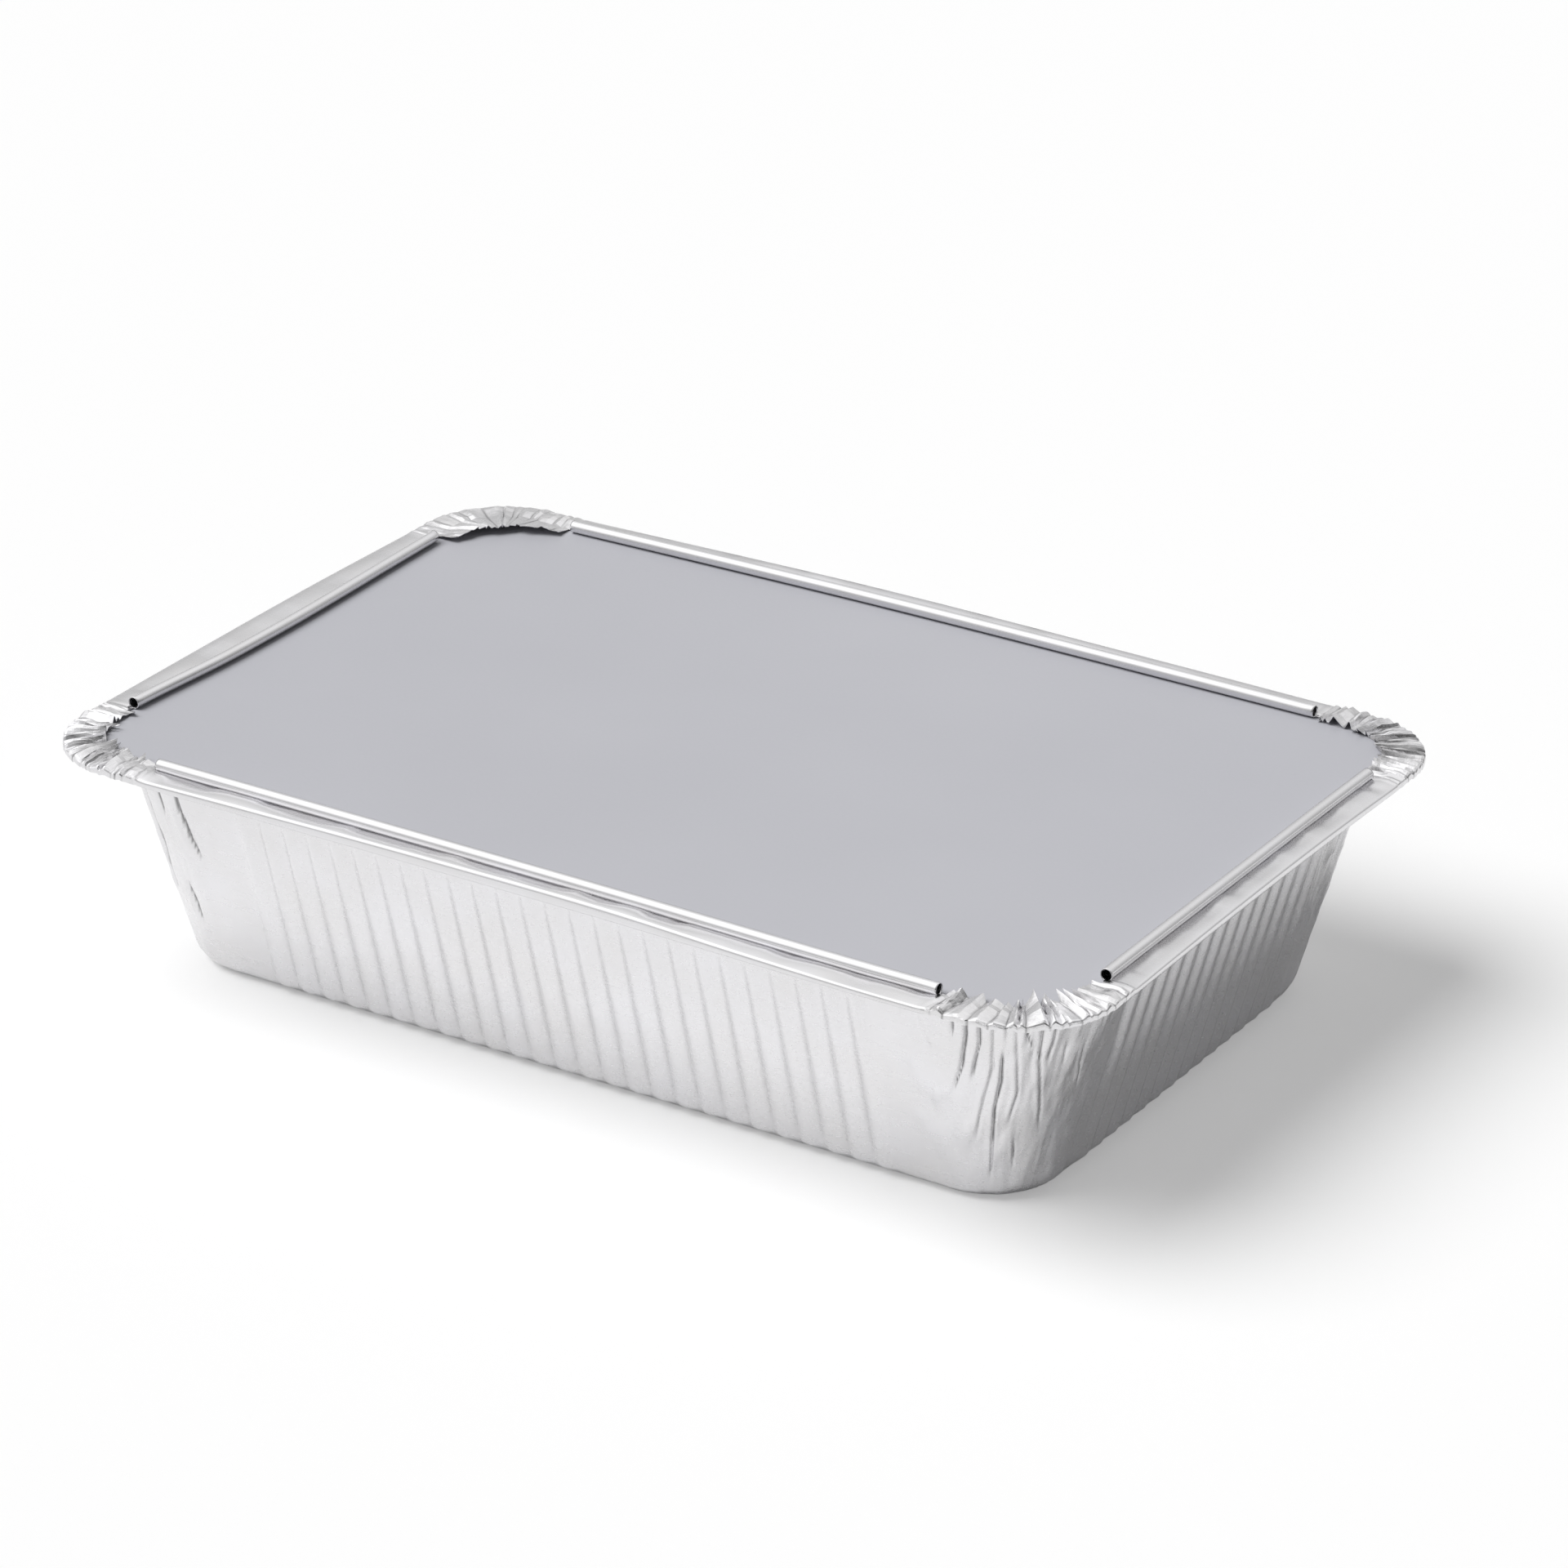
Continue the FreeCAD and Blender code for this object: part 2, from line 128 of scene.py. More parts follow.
# Straight part of each wall: direction along it, direction out, half its length, base and rim distance
Side = namedtuple("Side", "along out half base rim")
SIDES = (
    Side((1, 0), (0, -1), BASE_LONG - BASE_RADIUS, BASE_WIDE, RIM_WIDE),
    Side((0, 1), (1, 0), BASE_WIDE - BASE_RADIUS, BASE_LONG, RIM_LONG),
    Side((-1, 0), (0, 1), BASE_LONG - BASE_RADIUS, BASE_WIDE, RIM_WIDE),
    Side((0, -1), (-1, 0), BASE_WIDE - BASE_RADIUS, BASE_LONG, RIM_LONG),
)
FRONT, RIGHT, BACK, LEFT = range(4)

# A corner has the name of the side before it, counted anticlockwise from above
WALL_CORNER_STOPS = {FRONT: 150, RIGHT: 54, BACK: 54, LEFT: 82}

# How the folded edge wanders on each side: (place along the side, outward, upward) in millimetres
EDGE_WANDER = {
    FRONT: (
        (-95, 0, 0), (-60, -0.3, 0.5), (-15, -0.5, 0.9), (20, -0.4, 0.9), (46, 0.1, 0.3), (70, 0.5, 0),
        (95, 0.4, 0),
    ),
    RIGHT: ((-56, 0, 0), (-14, -0.5, 0.3), (25, -0.5, 0.3), (56, 0, 0)),
    BACK: ((-95, 0, 0), (-40, 0.5, 0.5), (20, 0.7, 0.8), (60, 0.2, 0.4), (95, -0.5, 0)),
    LEFT: ((-56, 0, 0), (-10, 0.2, 0.4), (20, 0.1, 0.3), (56, 0, 0)),
}
# How far in from the fold the strip reaches on each side: (place along the side, inset) in millimetres
STRIP_REACH = {
    FRONT: ((-95, 6.0), (-40, 5.7), (20, 5.5), (95, 6.0)),
    RIGHT: ((-56, 6.0), (0, 5.6), (56, 6.0)),
    BACK: ((-95, 6.2), (0, 5.8), (95, 6.2)),
    LEFT: ((-56, 6.6), (-38, 7.2), (5, 8.3), (22, 8.0), (47, 6.4), (56, 6.2)),
}
# Section of the fold, from the ledge over its edge: inset and rise in millimetres, share of the side's
# upward wander, share of the pleats
FOLD_SECTION = (
    (1.1, 0, 0, 0), (0.35, 0, 0, 0.12), (0.06, 0.05, 0, 0.2), (0, 0.18, 0, 0.25),
    (0.02, 0.5, 0.2, 0.3), (0.08, 0.78, 0.6, 0.35), (0.24, 0.95, 0.9, 0.4), (0.6, 1.02, 1, 0.5),
)
# Gathered corners: mean width of a pleat in millimetres, height of the pleats and length of the spikes as
# shares of the usual, lift of the free edge and its further reach over the lid in millimetres
CornerStyle = namedtuple("CornerStyle", "pleat_width height spikes lift reach")
CORNER_STYLES = {
    FRONT: CornerStyle(3.0, 1.0, 1.0, 0.1, 0.0),
    RIGHT: CornerStyle(1.6, 0.8, 0.5, 0.0, 0.8),
    BACK: CornerStyle(3.2, 0.35, 0.25, 1.3, 7.0),
    LEFT: CornerStyle(1.8, 0.8, 0.7, 0.1, 0.6),
}
PLEATS_DRAWN = 90
PLEAT_WIDTHS = (0.45, 1.6)
PLEAT_LEAN = 0.45

# Creases in the corner walls, each from the top down: (place along the corner, height) in millimetres
CREASES = {
    FRONT: (
        ((5, 38), (4.5, 35.5)), ((7, 37), (6, 30), (4, 24)), ((9, 35.5), (8, 30), (7.5, 27)),
        ((11, 38.5), (11, 30), (9.5, 23), (8, 14.5)), ((13, 39), (13, 35.5)),
        ((12.5, 34), (12.5, 27), (11.5, 21), (11, 5.5)), ((14.5, 36), (15.5, 24.5), (14, 17.5)),
        ((15.5, 14), (16, 8)), ((16, 37), (19, 31)), ((18.5, 38), (18.5, 31), (20.5, 17)),
        ((20.5, 36), (20, 31)), ((23, 33.5), (23, 30)), ((26.5, 32), (27.5, 23)),
    ),
    LEFT: (((25.5, 38), (25.5, 34)), ((30, 38), (31, 31), (33, 26.5)), ((26, 20.5), (28, 11))),
}
BULGES = {
    FRONT: (
        ((1, 36), (-5, 27.5)), ((3, 26), (0, 21)), ((8, 20), (5.5, 12.5)), ((11, 14), (10.5, 6.5)),
        ((14.5, 16.5), (13, 10)),
    ),
}
# Creases drawn at random: how many at each corner, and the share of its arc that they take up
DRAWN_CREASES = {RIGHT: 11, BACK: 11, LEFT: 7}
DRAWN_SHARE = {LEFT: 0.7}
DRAWN_TOP = 38
DRAWN_LOW = (8, 32)
DRAWN_DRIFT = 2.5

# Section of a crease, in millimetres: a groove with a lip beside it, wider where the mesh is coarser.
# One that starts above RUNS_OUT_ABOVE runs on past the top of the wall.
RUNS_OUT_ABOVE = 35
PAST_WALL_TOP = 60
GROOVE_WIDTH = 0.26
LIP_WIDTH = 0.42
LIP_SHARE = 0.55
BULGE_WIDTH = 1.3
BULGE_SHARE = 0.6
COARSER = 1.8
FINE_STRENGTH = 0.55
COARSE_STRENGTH = 0.9

# Looks: each pair is what a colour or a roughness spreads between, where its noise goes over NOISE_SPAN
NOISE_SPAN = (0.3, 0.7)
FOIL_COLOURS = ((0.745, 0.738, 0.745), (0.772, 0.768, 0.785))
FOIL_ROUGHNESS = (0.20, 0.29)
CARD_COLOURS = ((0.475, 0.477, 0.513), (0.501, 0.503, 0.539))
CARD_ROUGHNESS = (0.42, 0.5)
FLOOR_COLOUR = (0.98, 0.98, 0.98, 1)
FLOOR_ROUGHNESS = 0.9
FLOOR_REACH = 6.0
WHITE = (1, 1, 1, 1)
# Painted shade: how far the foil's colour is darkened at the bottom of a crease and along a pleat line
PAINTED_SHADE_IN_CREASES = 0.85
PAINTED_SHADE_ON_PLEAT_LINES = 0.7

# Grain of each noise, as about how many of its blobs lie in a metre
WALL_DENT_GRAIN = 300.0
WALL_DENT_SQUEEZE = (1.0, 1.0, 0.22)
STRIP_SLACK_GRAIN = 110.0
CRUMPLE_GRAIN = 450.0
ROLLING_GRAIN = (30.0, 2600.0, 2600.0)
SOFT_DENT_GRAIN = 90.0
FINE_CRUMPLE_GRAIN = 1100.0
CARD_CLOUD_GRAIN = 14.0
CARD_FIBRE_GRAIN = 1400.0

# Light: share of the floor's white that is its own, light from all round, and the broad key
OWN_WHITE = 0.30
OWN_WHITE_IN_METAL = 0.03
AMBIENT = 0.20
KEY_WAY = Vector((-0.44, -0.33, 0.835)).normalized()
KEY_STRENGTH = 3.02
KEY_BREADTH = math.radians(48)

# What metal mirrors of the studio: a sky brighter overhead, a glow to the left and a dark side to the right.
# Each span goes from where that light sets in to where it is full, by height for the sky and by likeness to
# its way for the others.
SKY = (0.60, 1.12)
SKY_SPAN = (0.1, 0.95)
GLOW_WAY = Vector((-0.68, -0.25, 0.69)).normalized()
GLOW = 0.5
GLOW_SPAN = (0.70, 0.95)
DARK_WAY = Vector((0.85, -0.45, 0.25)).normalized()
DARKENING = 0.54
DARK_SPAN = (0.0, 0.75)


def fade(value, start, end):
    """0 at start, 1 at end, smooth between."""
    t = np.clip((value - start) / (end - start), 0, 1)
    return t * t * (3 - 2 * t)


def smooth_between(points, place, column):
    """Value at a place from a list of points in millimetres, with an even slope through each of them."""
    places = np.array([point[0] for point in points]) * MM
    values = np.array([point[column] for point in points]) * MM
    slopes = np.gradient(values, places)
    index = np.clip(np.searchsorted(places, place) - 1, 0, len(places) - 2)
    span = places[index + 1] - places[index]
    t = np.clip((place - places[index]) / span, 0, 1)
    rise = 3 * t**2 - 2 * t**3
    return (
        values[index] * (1 - rise)
        + values[index + 1] * rise
        + slopes[index] * span * (t**3 - 2 * t**2 + t)
        + slopes[index + 1] * span * (t**3 - t**2)
    )


def long_or_short(side, for_long, for_short):
    """One value for the front and the back, another for the left and the right."""
    return np.where(np.asarray(side) % 2 == 0, for_long, for_short)


def side_values(side):
    """The entries of SIDES for each stop, as arrays."""
    columns = (np.array([getattr(row, name) for row in SIDES], float) for name in Side._fields)
    return Side(*(column[side] for column in columns))


def along_sides(table, owner, run, column):
    """A value listed for each side, read at every stop."""
    result = np.zeros(len(run))
    for number in range(4):
        here = owner == number
        result[here] = smooth_between(table[number], run[here], column)
    return result


# Stops

def round_the_tray(straight_stops, corner_stops):
    """All stops of a ring: number of the side, place along its straight part, turn of the corner after it."""
    side, place, turn = [], [], []
    for number, wall in enumerate(SIDES):
        straight = straight_stops(number, wall.half)
        bend = np.arange(1, corner_stops[number]) / corner_stops[number]
        side.append(np.full(len(straight) + len(bend), number))
        place.append(np.concatenate([straight, np.full(len(bend), wall.half)]))
        turn.append(np.concatenate([np.zeros(len(straight)), bend]))
    return np.concatenate(side), np.concatenate(place), np.concatenate(turn)


def wall_places(number, half):
    """Places along one wall: a few a rib across the ribs, wider beyond them, and fine by the corners."""
    ribbed_to = float(long_or_short(number, RIBS_HALF_LONG, RIBS_HALF_WIDE))
    count = round(2 * ribbed_to / RIB_PITCH) * STOPS_A_RIB
    ribbed = np.linspace(-ribbed_to, ribbed_to, count + 1)
    fine = np.linspace(-half, -half + FINE_MARGIN, round(FINE_MARGIN / FINE_STOP) + 1)[:-1]
    plain_steps = max(1, math.ceil((half - FINE_MARGIN - ribbed_to) / SMOOTH_STOP))
    plain = np.linspace(-half + FINE_MARGIN, -ribbed_to, plain_steps + 1)[:-1]
    before = np.concatenate([fine, plain])
    return np.concatenate([before, ribbed, -before[::-1]])


def rim_places(number, half):
    """Even places along the straight part of one side of the rim."""
    return np.linspace(-half, half, round(2 * half / RIM_STOP) + 1)


def lap(stops):
    """How far round the tray each stop is: half of one for each straight side and half for its corner."""
    side, place, turn = stops
    half = side_values(side).half
    return side + np.where(turn > 0, 0.5 + 0.5 * turn, 0.5 * (place + half) / (2 * half))


# Rings

def wall_ring(stops, grow, height, shrink=0.0):
    """One ring of the cup: the base outline grown outward, or shrunk to the middle line for the bottom."""
    side, place, turn = stops
    wall = side_values(side)
    angle = turn * math.pi / 2
    centre = wall.along * place[:, None] + wall.out * (wall.base - BASE_RADIUS)[:, None]
    direction = wall.out * np.cos(angle)[:, None] + wall.along * np.sin(angle)[:, None]
    plan = centre + direction * (BASE_RADIUS + grow)
    spine = BASE_LONG - BASE_WIDE
    target = np.stack([np.clip(plan[:, 0], -spine, spine), np.zeros(len(plan))], 1)
    plan = plan + (target - plan) * shrink
    return np.column_stack([plan, np.full(len(plan), height)]), direction


RimPath = namedtuple("RimPath", "owner run path before after")


def rim_path(stops):
    """Where each stop of the rim is: its side, the place along that side, and its way round the corner.

    The last two entries mark the stops on the straight stretch before and after the corner's arc.
    """
    side, place, turn = stops
    half = side_values(side).half
    next_side = (side + 1) % 4
    path = turn * (2 * RIM_LEAD + RIM_ARC)
    before, after = path < RIM_LEAD, path > RIM_LEAD + RIM_ARC
    run_after = path - 2 * RIM_LEAD - RIM_ARC - side_values(next_side).half
    run = np.where(after, run_after, place + np.minimum(path, RIM_LEAD))
    return RimPath(np.where(after, next_side, side), run, path, before, after)


def rim_ring(stops, inset, height):
    """One ring of the folded rim, at an inset from its outer edge."""
    side = stops[0]
    wall = side_values(side)
    next_rim = side_values((side + 1) % 4).rim
    at = rim_path(stops)
    angle = np.clip((at.path - RIM_LEAD) / RIM_RADIUS, 0, math.pi / 2)
    direction = wall.out * np.cos(angle)[:, None] + wall.along * np.sin(angle)[:, None]
    centre = wall.along * (wall.half + RIM_LEAD)[:, None] + wall.out * (wall.rim - RIM_RADIUS)[:, None]
    bend = centre + direction * (RIM_RADIUS - inset)[:, None]
    before = wall.along * at.run[:, None] + wall.out * (wall.rim - inset)[:, None]
    after = wall.along * (next_rim - inset)[:, None] - wall.out * at.run[:, None]
    plan = np.where(at.before[:, None], before, np.where(at.after[:, None], after, bend))
    return np.column_stack([plan, np.broadcast_to(height, len(plan))]), direction


class Sheet:
    """Points, faces and point values of the foil, gathered ring by ring."""

    NUMBERS = (
        "run", "rib", "crease", "slack", "fold_count", "pleat", "free", "crumple", "loose", "gathered",
    )

    def __init__(self):
        self.points = []
        self.ways = []
        self.values = {name: [] for name in self.NUMBERS}
        self.faces = []
        self.count = 0

    def ring(self, points, ways, **values):
        """Adds points with the ways outward at them and their values, and returns their numbers."""
        start = self.count
        self.points.append(points)
        self.ways.append(np.column_stack([ways, np.zeros(len(points))]))
        for name in self.NUMBERS:
            given = np.asarray(values.get(name, 0.0), float)
            self.values[name].append(np.broadcast_to(given, (len(points),)))
        self.count += len(points)
        return np.arange(start, self.count)

    def join(self, lower, upper, closed=True):
        """Quads between two rows with the same number of points."""
        for i in range(len(lower) if closed else len(lower) - 1):
            j = (i + 1) % len(lower)
            self.faces.append((lower[i], lower[j], upper[j], upper[i]))

    def join_steps(self, rows, extra):
        """Faces between two closed rows, rows[0] and rows[-1], with points between them at some stops."""
        for i in range(len(extra)):
            j = (i + 1) % len(extra)
            if extra[i] and extra[j]:
                for lower, upper in zip(rows, rows[1:]):
                    self.faces.append((lower[i], lower[j], upper[j], upper[i]))
            else:
                right = [row[j] for row in rows[1:-1]] if extra[j] else []
                left = [row[i] for row in rows[-2:0:-1]] if extra[i] else []
                self.faces.append((rows[0][i], rows[0][j], *right, rows[-1][j], rows[-1][i], *left))

    def zip_rows(self, lower, lower_lap, upper, upper_lap):
        """Triangles between two closed rows whose stops differ."""
        lower_lap = np.append(lower_lap, 4.0)
        upper_lap = np.append(upper_lap, 4.0)
        i = j = 0
        while i < len(lower) or j < len(upper):
            a, b = lower[i % len(lower)], upper[j % len(upper)]
            if j == len(upper) or (i < len(lower) and lower_lap[i + 1] <= upper_lap[j + 1]):
                i += 1
                self.faces.append((a, lower[i % len(lower)], b))
            else:
                j += 1
                self.faces.append((a, upper[j % len(upper)], b))

    def mesh(self, name):
        """The sheet as a Blender mesh, with its values as point attributes."""
        mesh = bpy.data.meshes.new(name)
        faces = [tuple(map(int, face)) for face in self.faces]
        mesh.from_pydata(np.concatenate(self.points).tolist(), [], faces)
        ways = mesh.attributes.new("way_out", "FLOAT_VECTOR", "POINT")
        ways.data.foreach_set("vector", np.concatenate(self.ways).astype(np.float32).ravel())
        for number in self.NUMBERS:
            column = mesh.attributes.new(number, "FLOAT", "POINT")
            column.data.foreach_set("value", np.concatenate(self.values[number]).astype(np.float32))
        return mesh


# Cup

def corner_place(stops, number):
    """Place of each stop along one corner, in millimetres from its start; far off for stops elsewhere."""
    side, place, turn = stops
    half = side_values(side).half
    before = (side == number) & (turn == 0) & (place > 0)
    after = (side == (number + 1) % 4) & (turn == 0) & (place < 0)
    bend = (side == number) & (turn > 0)
    along = np.full(len(side), 1.0)
    along[before] = (place - half)[before]
    along[after] = (CORNER_ARC + half + place)[after]
    along[bend] = (CORNER_ARC * turn)[bend]
    return along / MM


def drawn_creases(number):
    """Creases of a corner that isn't in full view, drawn at random from a fixed seed."""
    draw = np.random.default_rng(SEED + number)
    count = DRAWN_CREASES.get(number, 0)
    arc = CORNER_ARC / MM * DRAWN_SHARE.get(number, 1)
    creases = []
    for step in range(count):
        start = arc * (step + draw.uniform(0.2, 0.8)) / count
        low = draw.uniform(*DRAWN_LOW)
        drift = draw.uniform(-DRAWN_DRIFT, DRAWN_DRIFT)
        middle = (start + drift * draw.uniform(0.1, 0.6), (low + DRAWN_TOP) / 2)
        creases.append(((start, DRAWN_TOP), middle, (start + drift, low)))
    return tuple(creases)


def crease_line(points, height):
    """Place of a crease at a height in millimetres, and how far it is pressed there."""
    places = [point[0] for point in reversed(points)]
    heights = [point[1] for point in reversed(points)]
    low = heights[0]
    top = PAST_WALL_TOP if heights[-1] >= RUNS_OUT_ABOVE else heights[-1]
    pressed = fade(height, low - 1, low + 3) * (1 - fade(height, top - 2, top + 1))
    return np.interp(height, heights, places), pressed


def crease_shape(stops, height):
    """Relative depth of the creases and bulges of the corner walls, at one height in metres."""
    shape = np.zeros(len(stops[0]))
    draw = np.random.default_rng(SEED)
    for number in range(4):
        along = corner_place(stops, number)
        width, weakest = (1, FINE_STRENGTH) if number == FRONT else (COARSER, COARSE_STRENGTH)
        for points in CREASES.get(number, ()) + drawn_creases(number):
            place, pressed = crease_line(points, height / MM)
            offset = (along - place) / width
            groove = np.exp(-((offset / GROOVE_WIDTH) ** 2))
            lip = np.exp(-(((offset + 2 * LIP_WIDTH) / LIP_WIDTH) ** 2))
            shape += pressed * draw.uniform(weakest, 1.0) * (LIP_SHARE * lip - groove)
        for points in BULGES.get(number, ()):
            place, pressed = crease_line(points, height / MM)
            shape += BULGE_SHARE * pressed * np.exp(-(((along - place) / BULGE_WIDTH) ** 2))
    return shape


def cup_rings(sheet):
    """Bottom, rounded edge, leaning wall and ledge, up to the row where the rim begins."""
    stops = round_the_tray(wall_places, WALL_CORNER_STOPS)
    side, place, turn = stops
    half = side_values(side).half
    past_ribs = np.abs(place) - long_or_short(side, RIBS_HALF_LONG, RIBS_HALF_WIDE)
    ribbed = np.where(turn > 0, 0.0, 1 - fade(past_ribs, *RIB_END_FADE))
    by_corner = fade(np.abs(place), half - DENTED_BY_CORNER, half)
    extra = (turn > 0) | (np.abs(place) > half - FINE_MARGIN - FINE_STOP / 2)

    def ring(grow, height, shrink=0.0, rib=0.0, slack=0.0, where=None):
        """A ring with its ribs and creases; with where given, only its stops, and -1 for the rest."""
        points, ways = wall_ring(stops, grow, height, shrink)
        shape = crease_shape(stops, height) * fade(height, *CREASE_FOOT_FADE)
        values = {"run": place, "rib": ribbed * rib, "slack": by_corner * slack, "crease": shape}
        if where is None:
            return sheet.ring(points, ways, **values)
        row = np.full(len(side), -1)
        chosen = {name: value[where] for name, value in values.items()}
        row[where] = sheet.ring(points[where], ways[where], **chosen)
        return row

    rows = [ring(-BOTTOM_ROUNDING, FOIL / 2, shrink) for shrink in (1.0, 0.0)]
    turn_up = math.pi / 2 - math.atan2(WALL_SPREAD, LEDGE_TOP)
    for step in range(1, EDGE_STEPS + 1):
        share = step / EDGE_STEPS
        angle = turn_up * share
        grow = -BOTTOM_ROUNDING + BOTTOM_ROUNDING * math.sin(angle)
        height = FOIL / 2 + BOTTOM_ROUNDING * (1 - math.cos(angle))
        rows.append(ring(grow, height, rib=fade(share, 0.35, 1), slack=share))
    for lower, upper in zip(rows, rows[1:]):
        sheet.join(lower, upper)

    foot, foot_grow, lower = height, grow, rows[-1]
    for step in range(WALL_STEPS):
        between = []
        for part in range(1, ROWS_A_STEP + 1):
            share = (step + part / ROWS_A_STEP) / WALL_STEPS
            height = foot + (LEDGE_MIDDLE - foot) * share
            grow = foot_grow + (WALL_SPREAD - foot_grow) * share
            rib = 1 - RIB_LOST_AT_TOP * fade(height, *RIB_TOP_FADE)
            where = extra if part < ROWS_A_STEP else None
            between.append(ring(grow, height, rib=rib, slack=1.0, where=where))
        sheet.join_steps([lower, *between], extra)
        lower = between[-1]
    points, ways = rim_ring(stops, np.full(len(side), LEDGE_INSET), LEDGE_MIDDLE)
    ledge = sheet.ring(points, ways, run=place)
    sheet.join(lower, ledge)
    return ledge, lap(stops)


# Rim

def pleat_lines(number):
    """Where a corner's pleats part at the fold, and how far each line shifts on its way to the free edge."""
    draw = np.random.default_rng(SEED * 10 + number)
    widths = draw.uniform(*PLEAT_WIDTHS, PLEATS_DRAWN) * CORNER_STYLES[number].pleat_width * MM
    lines = np.concatenate([[0.0], np.cumsum(widths)])
    narrowest = np.minimum(np.append(widths, widths[-1]), np.insert(widths, 0, widths[0]))
    return lines, narrowest * draw.uniform(-PLEAT_LEAN, PLEAT_LEAN, len(lines))


class Rim:
    """The folded rim: where each of its stops is, and the rows of foil through them."""

    def __init__(self, sheet):
        self.sheet = sheet
        self.stops = round_the_tray(rim_places, [RIM_CORNER_STOPS] * len(SIDES))
        self.side = self.stops[0]
        self.owner, self.run, self.path, before, after = rim_path(self.stops)
        self.straight = before | after
        self.half_bead = long_or_short(self.owner, BEAD_HALF_LONG, BEAD_HALF_WIDE)
        past = np.abs(self.run) - self.half_bead
        self.corner = np.where(self.straight, fade(past, *GATHER_FADE), 1.0)
        bunched = np.exp(-(((past - BUNCH_WIDTH) / BUNCH_WIDTH) ** 2))
        self.crumple = CORNER_CRUMPLE * self.corner + np.where(self.straight, bunched, 0.0)
        self.out_by = np.where(self.straight, along_sides(EDGE_WANDER, self.owner, self.run, 1), 0)
        self.up_by = np.where(self.straight, along_sides(EDGE_WANDER, self.owner, self.run, 2), 0)
        side_reach = along_sides(STRIP_REACH, self.owner, self.run, 1)
        blended = side_reach + (CORNER_REACH - side_reach) * self.corner
        self.reach = np.where(self.straight, blended, CORNER_REACH)
        styles = np.array([CORNER_STYLES[number] for number in range(4)])[self.side]
        self.style = CornerStyle(*styles.T)
        arch = np.sin(math.pi * self.path / (2 * RIM_LEAD + RIM_ARC))
        self.width = GATHER_WIDTH + self.style.reach * MM * np.where(self.path > 0, arch, 0.0)

    def fold_count(self, share):
        """Number of the pleat at each stop, and how far through it the stop is."""
        counts = np.zeros(len(self.side))
        for number in range(4):
            here = self.side == number
            lines, shift = pleat_lines(number)
            for stop in np.where(here)[0]:
                shifted = lines + shift * share[stop]
                counts[stop] = np.interp(self.path[stop], shifted, np.arange(len(lines)))
            counts[here] += 100 * number
        return counts

    def row(self, inset, height, pleat=0.0, free=0.0, loose=0.0, where=slice(None)):
        """One row of the rim. Pleat, free and loose: shares of pleat height, spike length and slackness."""
        inset = np.broadcast_to(inset, len(self.side))
        points, ways = rim_ring(self.stops, inset - self.out_by, height)
        values = {
            "run": self.run,
            "fold_count": self.fold_count(inset / self.width),
            "gathered": self.corner,
            "pleat": self.corner * self.style.height * pleat,
            "free": self.corner * self.style.spikes * free,
            "crumple": self.crumple * min(1, 2 * pleat),
            "loose": np.full(len(self.side), loose),
        }
        chosen = {name: value[where] for name, value in values.items()}
        return self.sheet.ring(points[where], ways[where], **chosen)

    def fold(self, ledge, ledge_lap):
        """Ledge's edge, the fold and the strip that lies over the lid, slackest half way in."""
        rows = []
        for inset, rise, wander, pleat in FOLD_SECTION:
            height = LEDGE_MIDDLE + rise * MM + self.up_by * wander
            rows.append(self.row(inset * MM, height, pleat))
        start, crest = FOLD_SECTION[-1][0] * MM, height
        for share in STRIP_SHARES:
            inset = start + (self.reach - start) * share
            height = crest + (STRIP_END - crest) * share
            slackness = 4 * share * (1 - share)
            rows.append(self.row(inset, height, 0.5 + 0.3 * share, 0.3 * share, slackness))
        self.sheet.zip_rows(ledge, ledge_lap, rows[0], lap(self.stops))
        for lower, upper in zip(rows, rows[1:]):
            self.sheet.join(lower, upper)
        return rows[-1]

    def beads(self, strip):
        """The strip's free edge rolled up and back on itself into a small tube on each straight side."""
        for number in range(4):
            on_side = (self.owner == number) & self.straight & (np.abs(self.run) <= self.half_bead)
            here = np.where(on_side)[0]
            here = here[np.argsort(self.run[here])]
            previous = strip[here]
            for degrees in BEAD_DEGREES:
                angle = math.radians(degrees)
                inset = self.reach + BEAD_RADIUS * math.cos(angle)
                height = STRIP_END + BEAD_RADIUS * (1 + math.sin(angle))
                points, ways = rim_ring(self.stops, inset - self.out_by, height)
                current = self.sheet.ring(points[here], ways[here], run=self.run[here])
                self.sheet.join(previous, current, closed=False)
                previous = current

    def gathers(self, strip):
        """The flat, gathered edge of the rim round each corner."""
        beyond = ~self.straight | (np.abs(self.run) > self.half_bead + BEAD_SETBACK)
        lift = self.style.lift * MM * self.corner
        for number in range(4):
            here = np.where(beyond & (self.side == number) & (self.path > 0))[0]
            previous = strip[here]
            for share in STRIP_SHARES:
                inset = self.reach + (self.width - self.reach) * share
                height = STRIP_END + lift * share
                current = self.row(inset, height, 0.8 + 0.2 * share, 0.3 + 0.7 * share, where=here)
                self.sheet.join(previous, current, closed=False)
                previous = current


# Node trees

def put(tree, kind, settings=None, inputs=None):
    """Adds a node, sets its properties, and links or sets its inputs by name or number."""
    node = tree.nodes.new(kind)
    for name, value in (settings or {}).items():
        setattr(node, name, value)
    for key, value in (inputs or {}).items():
        socket = node.inputs[key]
        if isinstance(value, bpy.types.NodeSocket):
            tree.links.new(value, socket)
        else:
            socket.default_value = value
    return node


def maths(tree, operation, a, b=0.0):
    """Result of one step of arithmetic."""
    return put(tree, "ShaderNodeMath", {"operation": operation}, {0: a, 1: b}).outputs[0]


def total(tree, *terms):
    """All terms added up."""
    result = terms[0]
    for term in terms[1:]:
        result = maths(tree, "ADD", result, term)
    return result


def product(tree, *factors):
    """All factors multiplied."""
    result = factors[0]
    for factor in factors[1:]:
        result = maths(tree, "MULTIPLY", result, factor)
    return result


